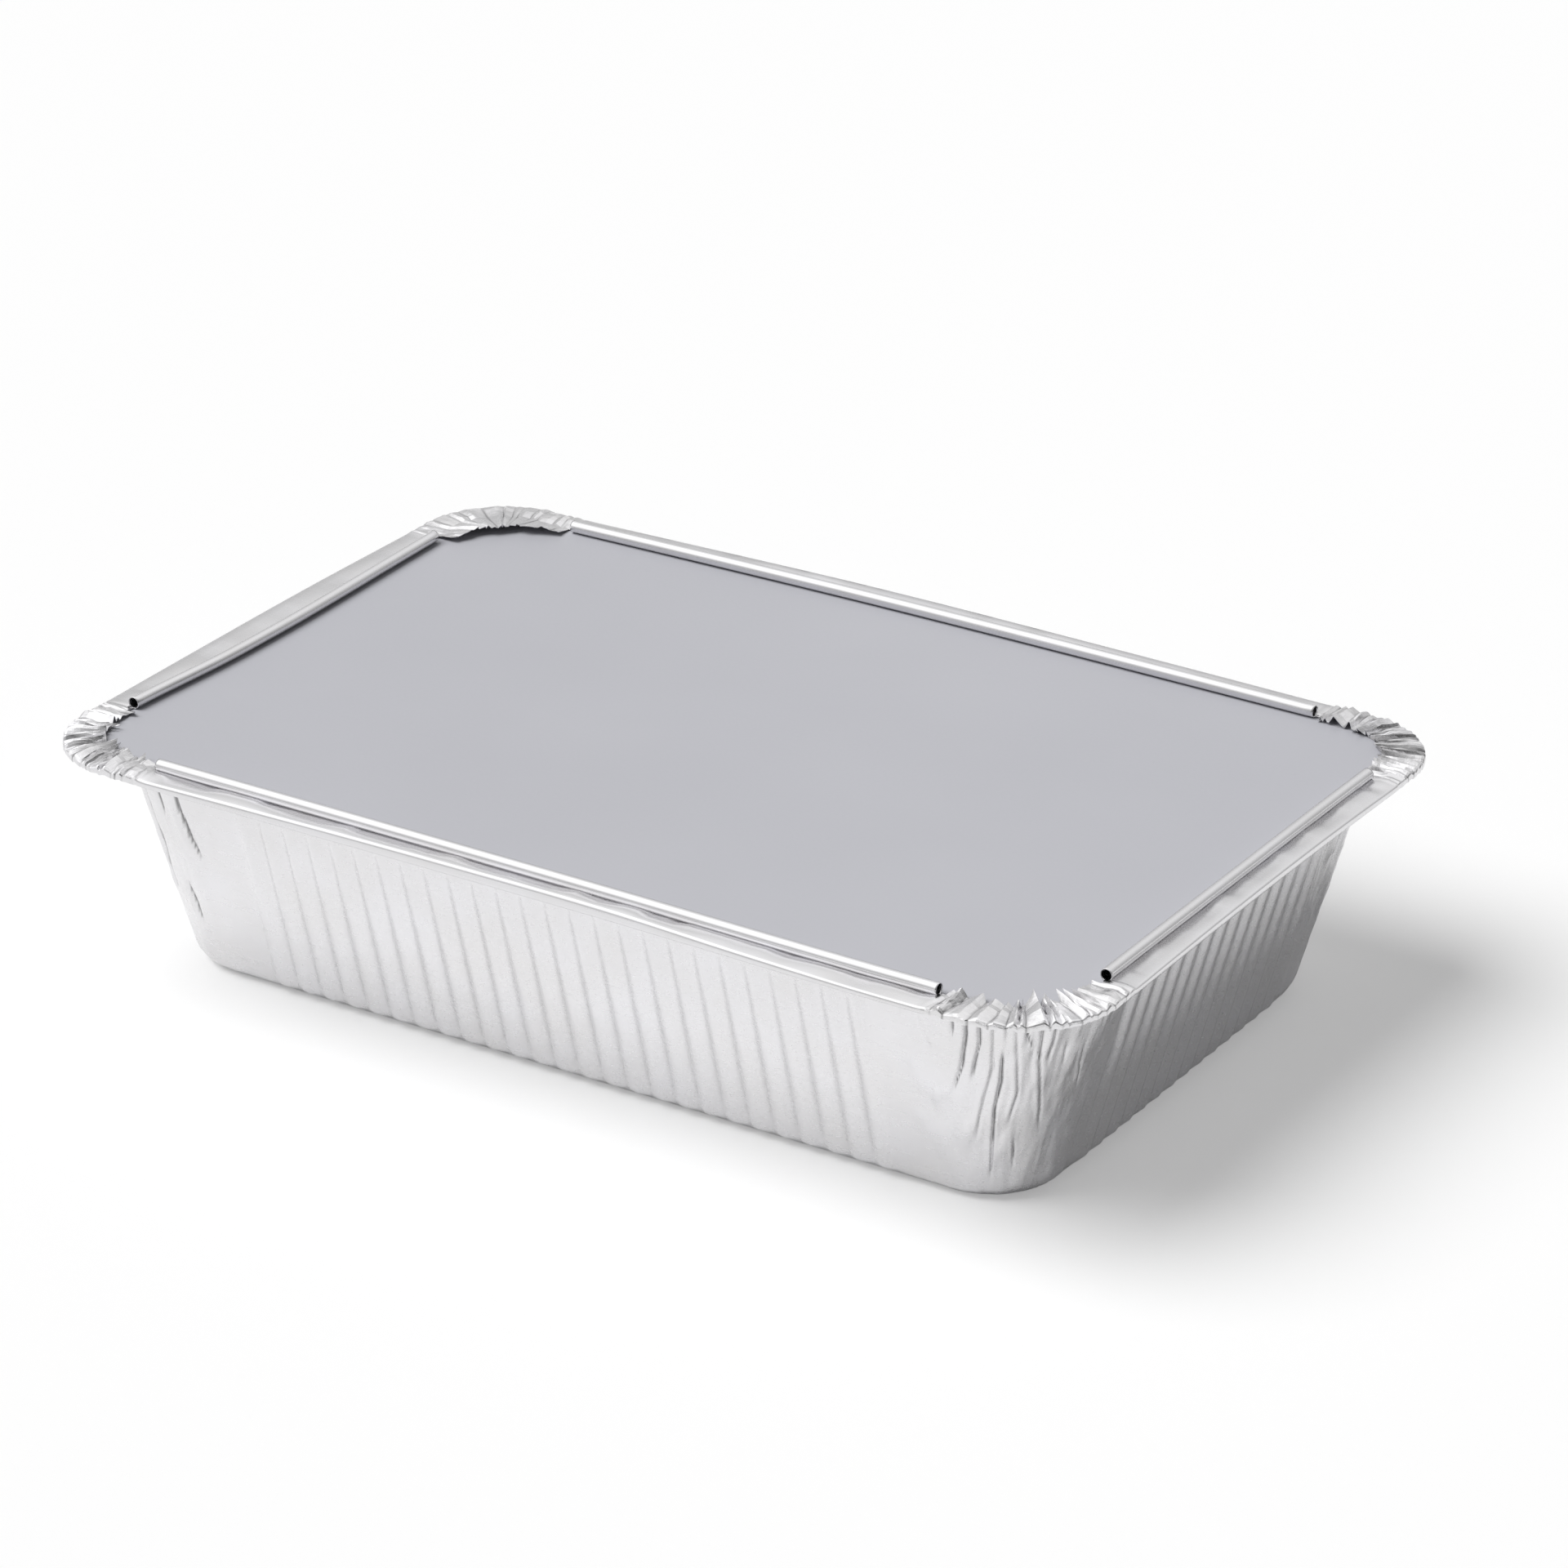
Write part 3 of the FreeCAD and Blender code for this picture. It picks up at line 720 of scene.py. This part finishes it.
def spread(tree, value, low, high, to_low=0.0, to_high=1.0, smooth=True):
    """Maps a value from one span to another, clamped."""
    kind = "SMOOTHSTEP" if smooth else "LINEAR"
    inputs = {0: value, 1: low, 2: high, 3: to_low, 4: to_high}
    return put(tree, "ShaderNodeMapRange", {"interpolation_type": kind}, inputs).outputs[0]


def vector_maths(tree, operation, a, b):
    """Vector result of one step of vector arithmetic."""
    other = "Scale" if operation == "SCALE" else 1
    return put(tree, "ShaderNodeVectorMath", {"operation": operation}, {0: a, other: b}).outputs[0]


def likeness(tree, way, other):
    """1 where a way points along another, 0 where it is square to it."""
    node = put(tree, "ShaderNodeVectorMath", {"operation": "DOT_PRODUCT"}, {0: way, 1: other})
    return node.outputs["Value"]


def split(tree, vector):
    """The three parts of a vector or colour."""
    return put(tree, "ShaderNodeSeparateXYZ", inputs={0: vector}).outputs


def joined(tree, x=0.0, y=0.0, z=0.0):
    """A vector from its three parts."""
    return put(tree, "ShaderNodeCombineXYZ", inputs={0: x, 1: y, 2: z}).outputs[0]


def noise(tree, vector, scale, detail=2.0):
    """Grey noise from 0 to 1."""
    inputs = {"Vector": vector, "Scale": scale, "Detail": detail}
    return put(tree, "ShaderNodeTexNoise", inputs=inputs).outputs[0]


def attribute(tree, name, kind="FLOAT"):
    """A point value of the sheet, in a geometry tree."""
    node = put(tree, "GeometryNodeInputNamedAttribute", {"data_type": kind}, {"Name": name})
    return node.outputs["Attribute"]


def pleat_rise(tree, seed):
    """Rise of the pleats from 0 at their lines to about 1 at their crests, how far each reaches in, and the
    painted shade along the fold at each line."""
    count = attribute(tree, "fold_count")
    through = maths(tree, "FRACT", count)
    own = total(tree, maths(tree, "FLOOR", count), seed)
    random = put(tree, "ShaderNodeTexWhiteNoise", {"noise_dimensions": "1D"}, {"W": own})
    drawn = split(tree, random.outputs["Color"])
    crest = spread(tree, drawn[0], 0.0, 1.0, *PLEAT_CREST, smooth=False)
    up = maths(tree, "DIVIDE", through, crest)
    down = maths(tree, "DIVIDE", maths(tree, "SUBTRACT", 1.0, through), maths(tree, "SUBTRACT", 1.0, crest))
    slope = maths(tree, "MINIMUM", up, down)
    rise = product(tree, slope, spread(tree, drawn[1], 0.0, 1.0, *PLEAT_RISE, smooth=False))
    reach_in = product(tree, slope, spread(tree, drawn[2], SPIKED_FROM, 1.0))
    # Painted shade along each pleat line, darkest at the line itself
    shade_on_pleat_lines = spread(tree, slope, 0.0, 0.14, PAINTED_SHADE_ON_PLEAT_LINES, 0.0, smooth=False)
    return rise, reach_in, shade_on_pleat_lines


def crumpling(tree, position, depth):
    """Small offsets in all directions, none of them downward."""
    inputs = {"Vector": position, "Scale": CRUMPLE_GRAIN, "Detail": 1.0}
    tight = put(tree, "ShaderNodeTexNoise", inputs=inputs).outputs["Color"]
    shake = vector_maths(tree, "SUBTRACT", tight, (0.5, 0.5, 0.5))
    shake = split(tree, vector_maths(tree, "SCALE", shake, depth))
    return joined(tree, shake[0], shake[1], maths(tree, "ABSOLUTE", shake[2]))


def pressing_tree(inputs):
    """Presses the ribs into the walls, creases the corner walls, gathers the rim's corners in pleats and
    stores painted shade for the creases and pleat lines.
    """
    tree = bpy.data.node_groups.new("press_ribs_and_gather_corners", "GeometryNodeTree")
    face = tree.interface
    face.new_socket("Blank", in_out="INPUT", socket_type="NodeSocketGeometry")
    for name in inputs:
        face.new_socket(name, in_out="INPUT", socket_type="NodeSocketFloat")
    face.new_socket("Foil", in_out="INPUT", socket_type="NodeSocketMaterial")
    face.new_socket("Tray", in_out="OUTPUT", socket_type="NodeSocketGeometry")
    given = tree.nodes.new("NodeGroupInput").outputs
    position = tree.nodes.new("GeometryNodeInputPosition").outputs[0]

    # Walls: ribs, creases and upright dents, all outward or inward
    phase = maths(tree, "DIVIDE", attribute(tree, "run"), given["Rib Pitch"])
    wave = maths(tree, "COSINE", product(tree, phase, 2 * math.pi))
    band = spread(tree, wave, -1.0, 1.0, 1.0, 0.0, smooth=False)
    rib = product(tree, band, given["Rib Depth"], attribute(tree, "rib"))
    crease = product(tree, attribute(tree, "crease"), given["Crease Depth"])
    stretched = vector_maths(tree, "MULTIPLY", position, WALL_DENT_SQUEEZE)
    uneven = maths(tree, "SUBTRACT", noise(tree, stretched, WALL_DENT_GRAIN), 0.5)
    dent = product(tree, uneven, given["Dent Depth"], attribute(tree, "slack"))

    # Rim: pleats and slackness upward, spikes inward
    rise, reach_in, shade_on_pleat_lines = pleat_rise(tree, given["Seed"])
    lift = product(tree, rise, given["Pleat Height"], attribute(tree, "pleat"))
    spike = product(tree, reach_in, given["Spike Length"], attribute(tree, "free"))
    rolling = spread(tree, noise(tree, position, STRIP_SLACK_GRAIN, 1.0), 0.38, 0.62)
    slack = product(tree, rolling, given["Strip Slack"], attribute(tree, "loose"))
    crumple_depth = product(tree, given["Crumple Depth"], attribute(tree, "crumple"))
    crumple = crumpling(tree, position, crumple_depth)

    outward = maths(tree, "SUBTRACT", total(tree, rib, crease, dent), spike)
    push = vector_maths(tree, "SCALE", attribute(tree, "way_out", "FLOAT_VECTOR"), outward)
    raised = joined(tree, z=total(tree, lift, slack))
    offset = vector_maths(tree, "ADD", vector_maths(tree, "ADD", push, raised), crumple)

    # Painted shade: how much the foil's colour is darkened in its creases and between its pleats, for the
    # material
    shade_in_creases = spread(tree, attribute(tree, "crease"), -0.95, -0.4, PAINTED_SHADE_IN_CREASES, 0.0)
    line = product(tree, shade_on_pleat_lines, spread(tree, attribute(tree, "pleat"), 0.05, 0.3))
    painted_shade = maths(tree, "MAXIMUM", shade_in_creases, line)

    mesh = put(tree, "GeometryNodeMergeByDistance", inputs={"Geometry": given["Blank"], "Distance": WELD})
    mesh = put(tree, "GeometryNodeStoreNamedAttribute", {"data_type": "FLOAT", "domain": "POINT"},
               {"Geometry": mesh.outputs[0], "Name": "painted_shade", "Value": painted_shade})
    mesh = put(tree, "GeometryNodeSetPosition", inputs={"Geometry": mesh.outputs[0], "Offset": offset})
    gathered = attribute(tree, "gathered")
    even = put(tree, "FunctionNodeCompare", {"operation": "LESS_THAN"}, {0: gathered, 1: FACETED_FROM})
    mesh = put(tree, "GeometryNodeSetShadeSmooth",
               inputs={"Geometry": mesh.outputs[0], "Selection": even.outputs[0]})
    mesh = put(tree, "GeometryNodeRealizeInstances", inputs={"Geometry": mesh.outputs[0]})
    mesh = put(tree, "GeometryNodeSetMaterial",
               inputs={"Geometry": mesh.outputs[0], "Material": given["Foil"]})
    tree.links.new(mesh.outputs[0], tree.nodes.new("NodeGroupOutput").inputs[0])
    return tree


def set_input(modifier, name, value):
    """Sets a modifier's input by the identifier of the socket with that name."""
    for item in modifier.node_group.interface.items_tree:
        if item.item_type == "SOCKET" and item.in_out == "INPUT" and item.name == name:
            modifier[item.identifier] = value
            return
    raise ValueError(f"the tree has no input named {name}")


def plain_mesh(piece, name):
    """The piece as its modifiers leave it, as a plain mesh."""
    evaluated = piece.evaluated_get(bpy.context.evaluated_depsgraph_get())
    mesh = bpy.data.meshes.new_from_object(evaluated)
    mesh.name = name
    piece.modifiers.clear()
    piece.data = mesh
    return piece


# Materials

def shader(name):
    """A new material with only a surface shader, its tree and that shader."""
    material = bpy.data.materials.new(name)
    material.use_nodes = True
    tree = material.node_tree
    tree.nodes.clear()
    surface = tree.nodes.new("ShaderNodeBsdfPrincipled")
    output = tree.nodes.new("ShaderNodeOutputMaterial")
    tree.links.new(surface.outputs[0], output.inputs[0])
    return material, tree, surface


def bump(tree, height, strength, distance, normal=None):
    """A normal with small relief in it, on top of another if one is given."""
    inputs = {"Height": height, "Strength": strength, "Distance": distance}
    if normal:
        inputs["Normal"] = normal
    return put(tree, "ShaderNodeBump", inputs=inputs).outputs[0]


def tinted(tree, value, first, second):
    """Colour between two, by a noise value."""
    ramp = put(tree, "ShaderNodeValToRGB", inputs={"Fac": value})
    for element, place, colour in zip(ramp.color_ramp.elements, NOISE_SPAN, (first, second)):
        element.position = place
        element.color = (*colour, 1)
    return ramp.outputs[0]


def rolled_foil():
    """Bright aluminium foil: fine rolling lines, soft dents, tight crumpling in the gathered corners, and
    painted shade in its creases and between its pleats.
    """
    material, tree, surface = shader("rolled_aluminium_foil")
    surface.inputs["Metallic"].default_value = 1.0
    place = tree.nodes.new("ShaderNodeTexCoord").outputs["Object"]
    lengthwise = put(tree, "ShaderNodeMapping", inputs={"Vector": place, "Scale": ROLLING_GRAIN})
    rolling = noise(tree, lengthwise.outputs[0], 1.0)
    dents = noise(tree, place, SOFT_DENT_GRAIN)
    crumple = noise(tree, place, FINE_CRUMPLE_GRAIN, 3.0)
    gathered = put(tree, "ShaderNodeAttribute", {"attribute_name": "gathered"}).outputs["Fac"]
    painted_shade = put(tree, "ShaderNodeAttribute", {"attribute_name": "painted_shade"}).outputs["Fac"]
    bright = tinted(tree, dents, *FOIL_COLOURS)
    # Painted shade: the colour is darkened in the creases and between the pleats, as the tray's tree stored
    # it
    shade_painted_colour = vector_maths(tree, "SCALE", bright, maths(tree, "SUBTRACT", 1.0, painted_shade))
    tree.links.new(shade_painted_colour, surface.inputs["Base Color"])
    roughness = spread(tree, rolling, *NOISE_SPAN, *FOIL_ROUGHNESS, smooth=False)
    tree.links.new(roughness, surface.inputs["Roughness"])
    lines = bump(tree, rolling, 0.03, 0.1 * MM)
    dented = bump(tree, dents, 0.15, 0.6 * MM, lines)
    crumpled = bump(tree, product(tree, crumple, gathered), 0.2, 0.3 * MM, dented)
    tree.links.new(crumpled, surface.inputs["Normal"])
    return material


def laminated_card():
    """Lid board with a satin grey laminate: faint mottling and a slight sheen."""
    material, tree, surface = shader("satin_laminated_card")
    surface.inputs["Metallic"].default_value = 0.0
    place = tree.nodes.new("ShaderNodeTexCoord").outputs["Object"]
    cloud = noise(tree, place, CARD_CLOUD_GRAIN, 3.0)
    fibre = noise(tree, place, CARD_FIBRE_GRAIN)
    tree.links.new(tinted(tree, cloud, *CARD_COLOURS), surface.inputs["Base Color"])
    roughness = spread(tree, fibre, *NOISE_SPAN, *CARD_ROUGHNESS, smooth=False)
    tree.links.new(roughness, surface.inputs["Roughness"])
    tree.links.new(bump(tree, fibre, 0.08, 0.1 * MM), surface.inputs["Normal"])
    return material


def light_path_seen(tree):
    """1 for what the camera sees straight, and 1 for what it sees in metal or through glass."""
    path = tree.nodes.new("ShaderNodeLightPath").outputs
    reflected = maths(tree, "MAXIMUM", path["Is Glossy Ray"], path["Is Transmission Ray"])
    return path["Is Camera Ray"], reflected


def floor_paper():
    """White sweep that keeps the shadow, with part of its white its own."""
    material, tree, surface = shader("white_sweep")
    surface.inputs["Roughness"].default_value = FLOOR_ROUGHNESS
    surface.inputs["Base Color"].default_value = FLOOR_COLOUR
    surface.inputs["Specular IOR Level"].default_value = 0.0
    output = surface.outputs[0].links[0].to_node
    camera, reflected = light_path_seen(tree)
    white = put(tree, "ShaderNodeEmission", inputs={"Color": WHITE, "Strength": 1.0})
    own_straight = product(tree, camera, OWN_WHITE)
    own_in_metal = product(tree, reflected, OWN_WHITE_IN_METAL)
    own = maths(tree, "MAXIMUM", own_straight, own_in_metal)
    mixed = put(tree, "ShaderNodeMixShader", inputs={0: own, 1: surface.outputs[0], 2: white.outputs[0]})
    tree.links.new(mixed.outputs[0], output.inputs[0])
    return material


# Pieces

def make_tray(foil):
    """The whole tray: one sheet from the bottom to the rim's free edge, pressed and given its thickness."""
    sheet = Sheet()
    ledge, ledge_lap = cup_rings(sheet)
    rim = Rim(sheet)
    strip = rim.fold(ledge, ledge_lap)
    rim.beads(strip)
    rim.gathers(strip)
    piece = bpy.data.objects.new("pressed_foil_tray", sheet.mesh("pressed_foil_tray"))
    bpy.context.scene.collection.objects.link(piece)
    sizes = {
        "Rib Pitch": RIB_PITCH,
        "Rib Depth": RIB_DEPTH,
        "Crease Depth": CREASE_DEPTH,
        "Dent Depth": DENT_DEPTH,
        "Pleat Height": PLEAT_HEIGHT,
        "Spike Length": SPIKE_LENGTH,
        "Crumple Depth": CRUMPLE_DEPTH,
        "Strip Slack": STRIP_SLACK,
        "Seed": float(SEED),
    }
    press = piece.modifiers.new("press", "NODES")
    press.node_group = pressing_tree(sizes)
    for name, size in sizes.items():
        set_input(press, name, size)
    set_input(press, "Foil", foil)
    thickness = piece.modifiers.new("thickness", "SOLIDIFY")
    thickness.thickness = FOIL
    thickness.offset = 0.0
    return plain_mesh(piece, "pressed_foil_tray")


def make_floor():
    """A wide flat floor under the tray."""
    mesh = bpy.data.meshes.new("floor")
    reach = FLOOR_REACH
    corners = [(-reach, -reach, 0), (reach, -reach, 0), (reach, reach, 0), (-reach, reach, 0)]
    mesh.from_pydata(corners, [], [(0, 1, 2, 3)])
    floor = bpy.data.objects.new("floor", mesh)
    bpy.context.scene.collection.objects.link(floor)
    floor.data.materials.append(floor_paper())


# Studio

def make_lights():
    """Soft studio: a broad high key, dim air all round, and for metal a bright sky with a darker side."""
    world = bpy.data.worlds.new("studio")
    bpy.context.scene.world = world
    world.use_nodes = True
    tree = world.node_tree
    background = tree.nodes["Background"]
    background.inputs["Color"].default_value = WHITE
    way = tree.nodes.new("ShaderNodeTexCoord").outputs["Generated"]
    sky = spread(tree, split(tree, way)[2], *SKY_SPAN, *SKY)
    glow = spread(tree, likeness(tree, way, GLOW_WAY), *GLOW_SPAN, 0.0, GLOW)
    dark = spread(tree, likeness(tree, way, DARK_WAY), *DARK_SPAN, 0.0, DARKENING)
    mirrored = maths(tree, "SUBTRACT", total(tree, sky, glow), dark)
    camera, reflected = light_path_seen(tree)
    strength = spread(tree, reflected, 0.0, 1.0, AMBIENT, mirrored, smooth=False)
    strength = spread(tree, camera, 0.0, 1.0, strength, 1.0, smooth=False)
    tree.links.new(strength, background.inputs["Strength"])

    key = bpy.data.lights.new("key", "SUN")
    key.energy = KEY_STRENGTH
    key.angle = KEY_BREADTH
    lamp = bpy.data.objects.new("key", key)
    bpy.context.scene.collection.objects.link(lamp)
    lamp.rotation_euler = KEY_WAY.to_track_quat("Z", "Y").to_euler()
    lamp.visible_glossy = False


def make_camera():
    """The photograph's view, found from the rim, the bottom line and the corners."""
    azimuth, elevation, roll = 0.5658, 0.4371, 0.0012
    distance, across, above = 1.14026, 0.007648, 0.034100
    focal_pixels, photo_pixels, sensor = 7477.23, 1920, 36.0
    level = math.cos(elevation)
    back = Vector((math.sin(azimuth) * level, -math.cos(azimuth) * level, math.sin(elevation)))
    right = Vector((math.cos(azimuth), math.sin(azimuth), 0))
    up = back.cross(right)
    right, up = right * math.cos(roll) + up * math.sin(roll), up * math.cos(roll) - right * math.sin(roll)
    data = bpy.data.cameras.new("camera")
    data.sensor_width = sensor
    data.lens = focal_pixels / photo_pixels * sensor
    data.clip_start, data.clip_end = 0.05, 20
    camera = bpy.data.objects.new("camera", data)
    bpy.context.scene.collection.objects.link(camera)
    eye = back * distance + right * across + up * above
    camera.matrix_world = Matrix((
        (right.x, up.x, back.x, eye.x),
        (right.y, up.y, back.y, eye.y),
        (right.z, up.z, back.z, eye.z),
        (0, 0, 0, 1),
    ))
    bpy.context.scene.camera = camera


bpy.context.scene.view_settings.view_transform = "Standard"
make_camera()
make_lights()
make_floor()

tray = make_tray(rolled_foil())
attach(tray, "root")
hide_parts("foil_tray")

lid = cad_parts["card_lid"]
lid.data.materials.clear()
lid.data.materials.append(laminated_card())
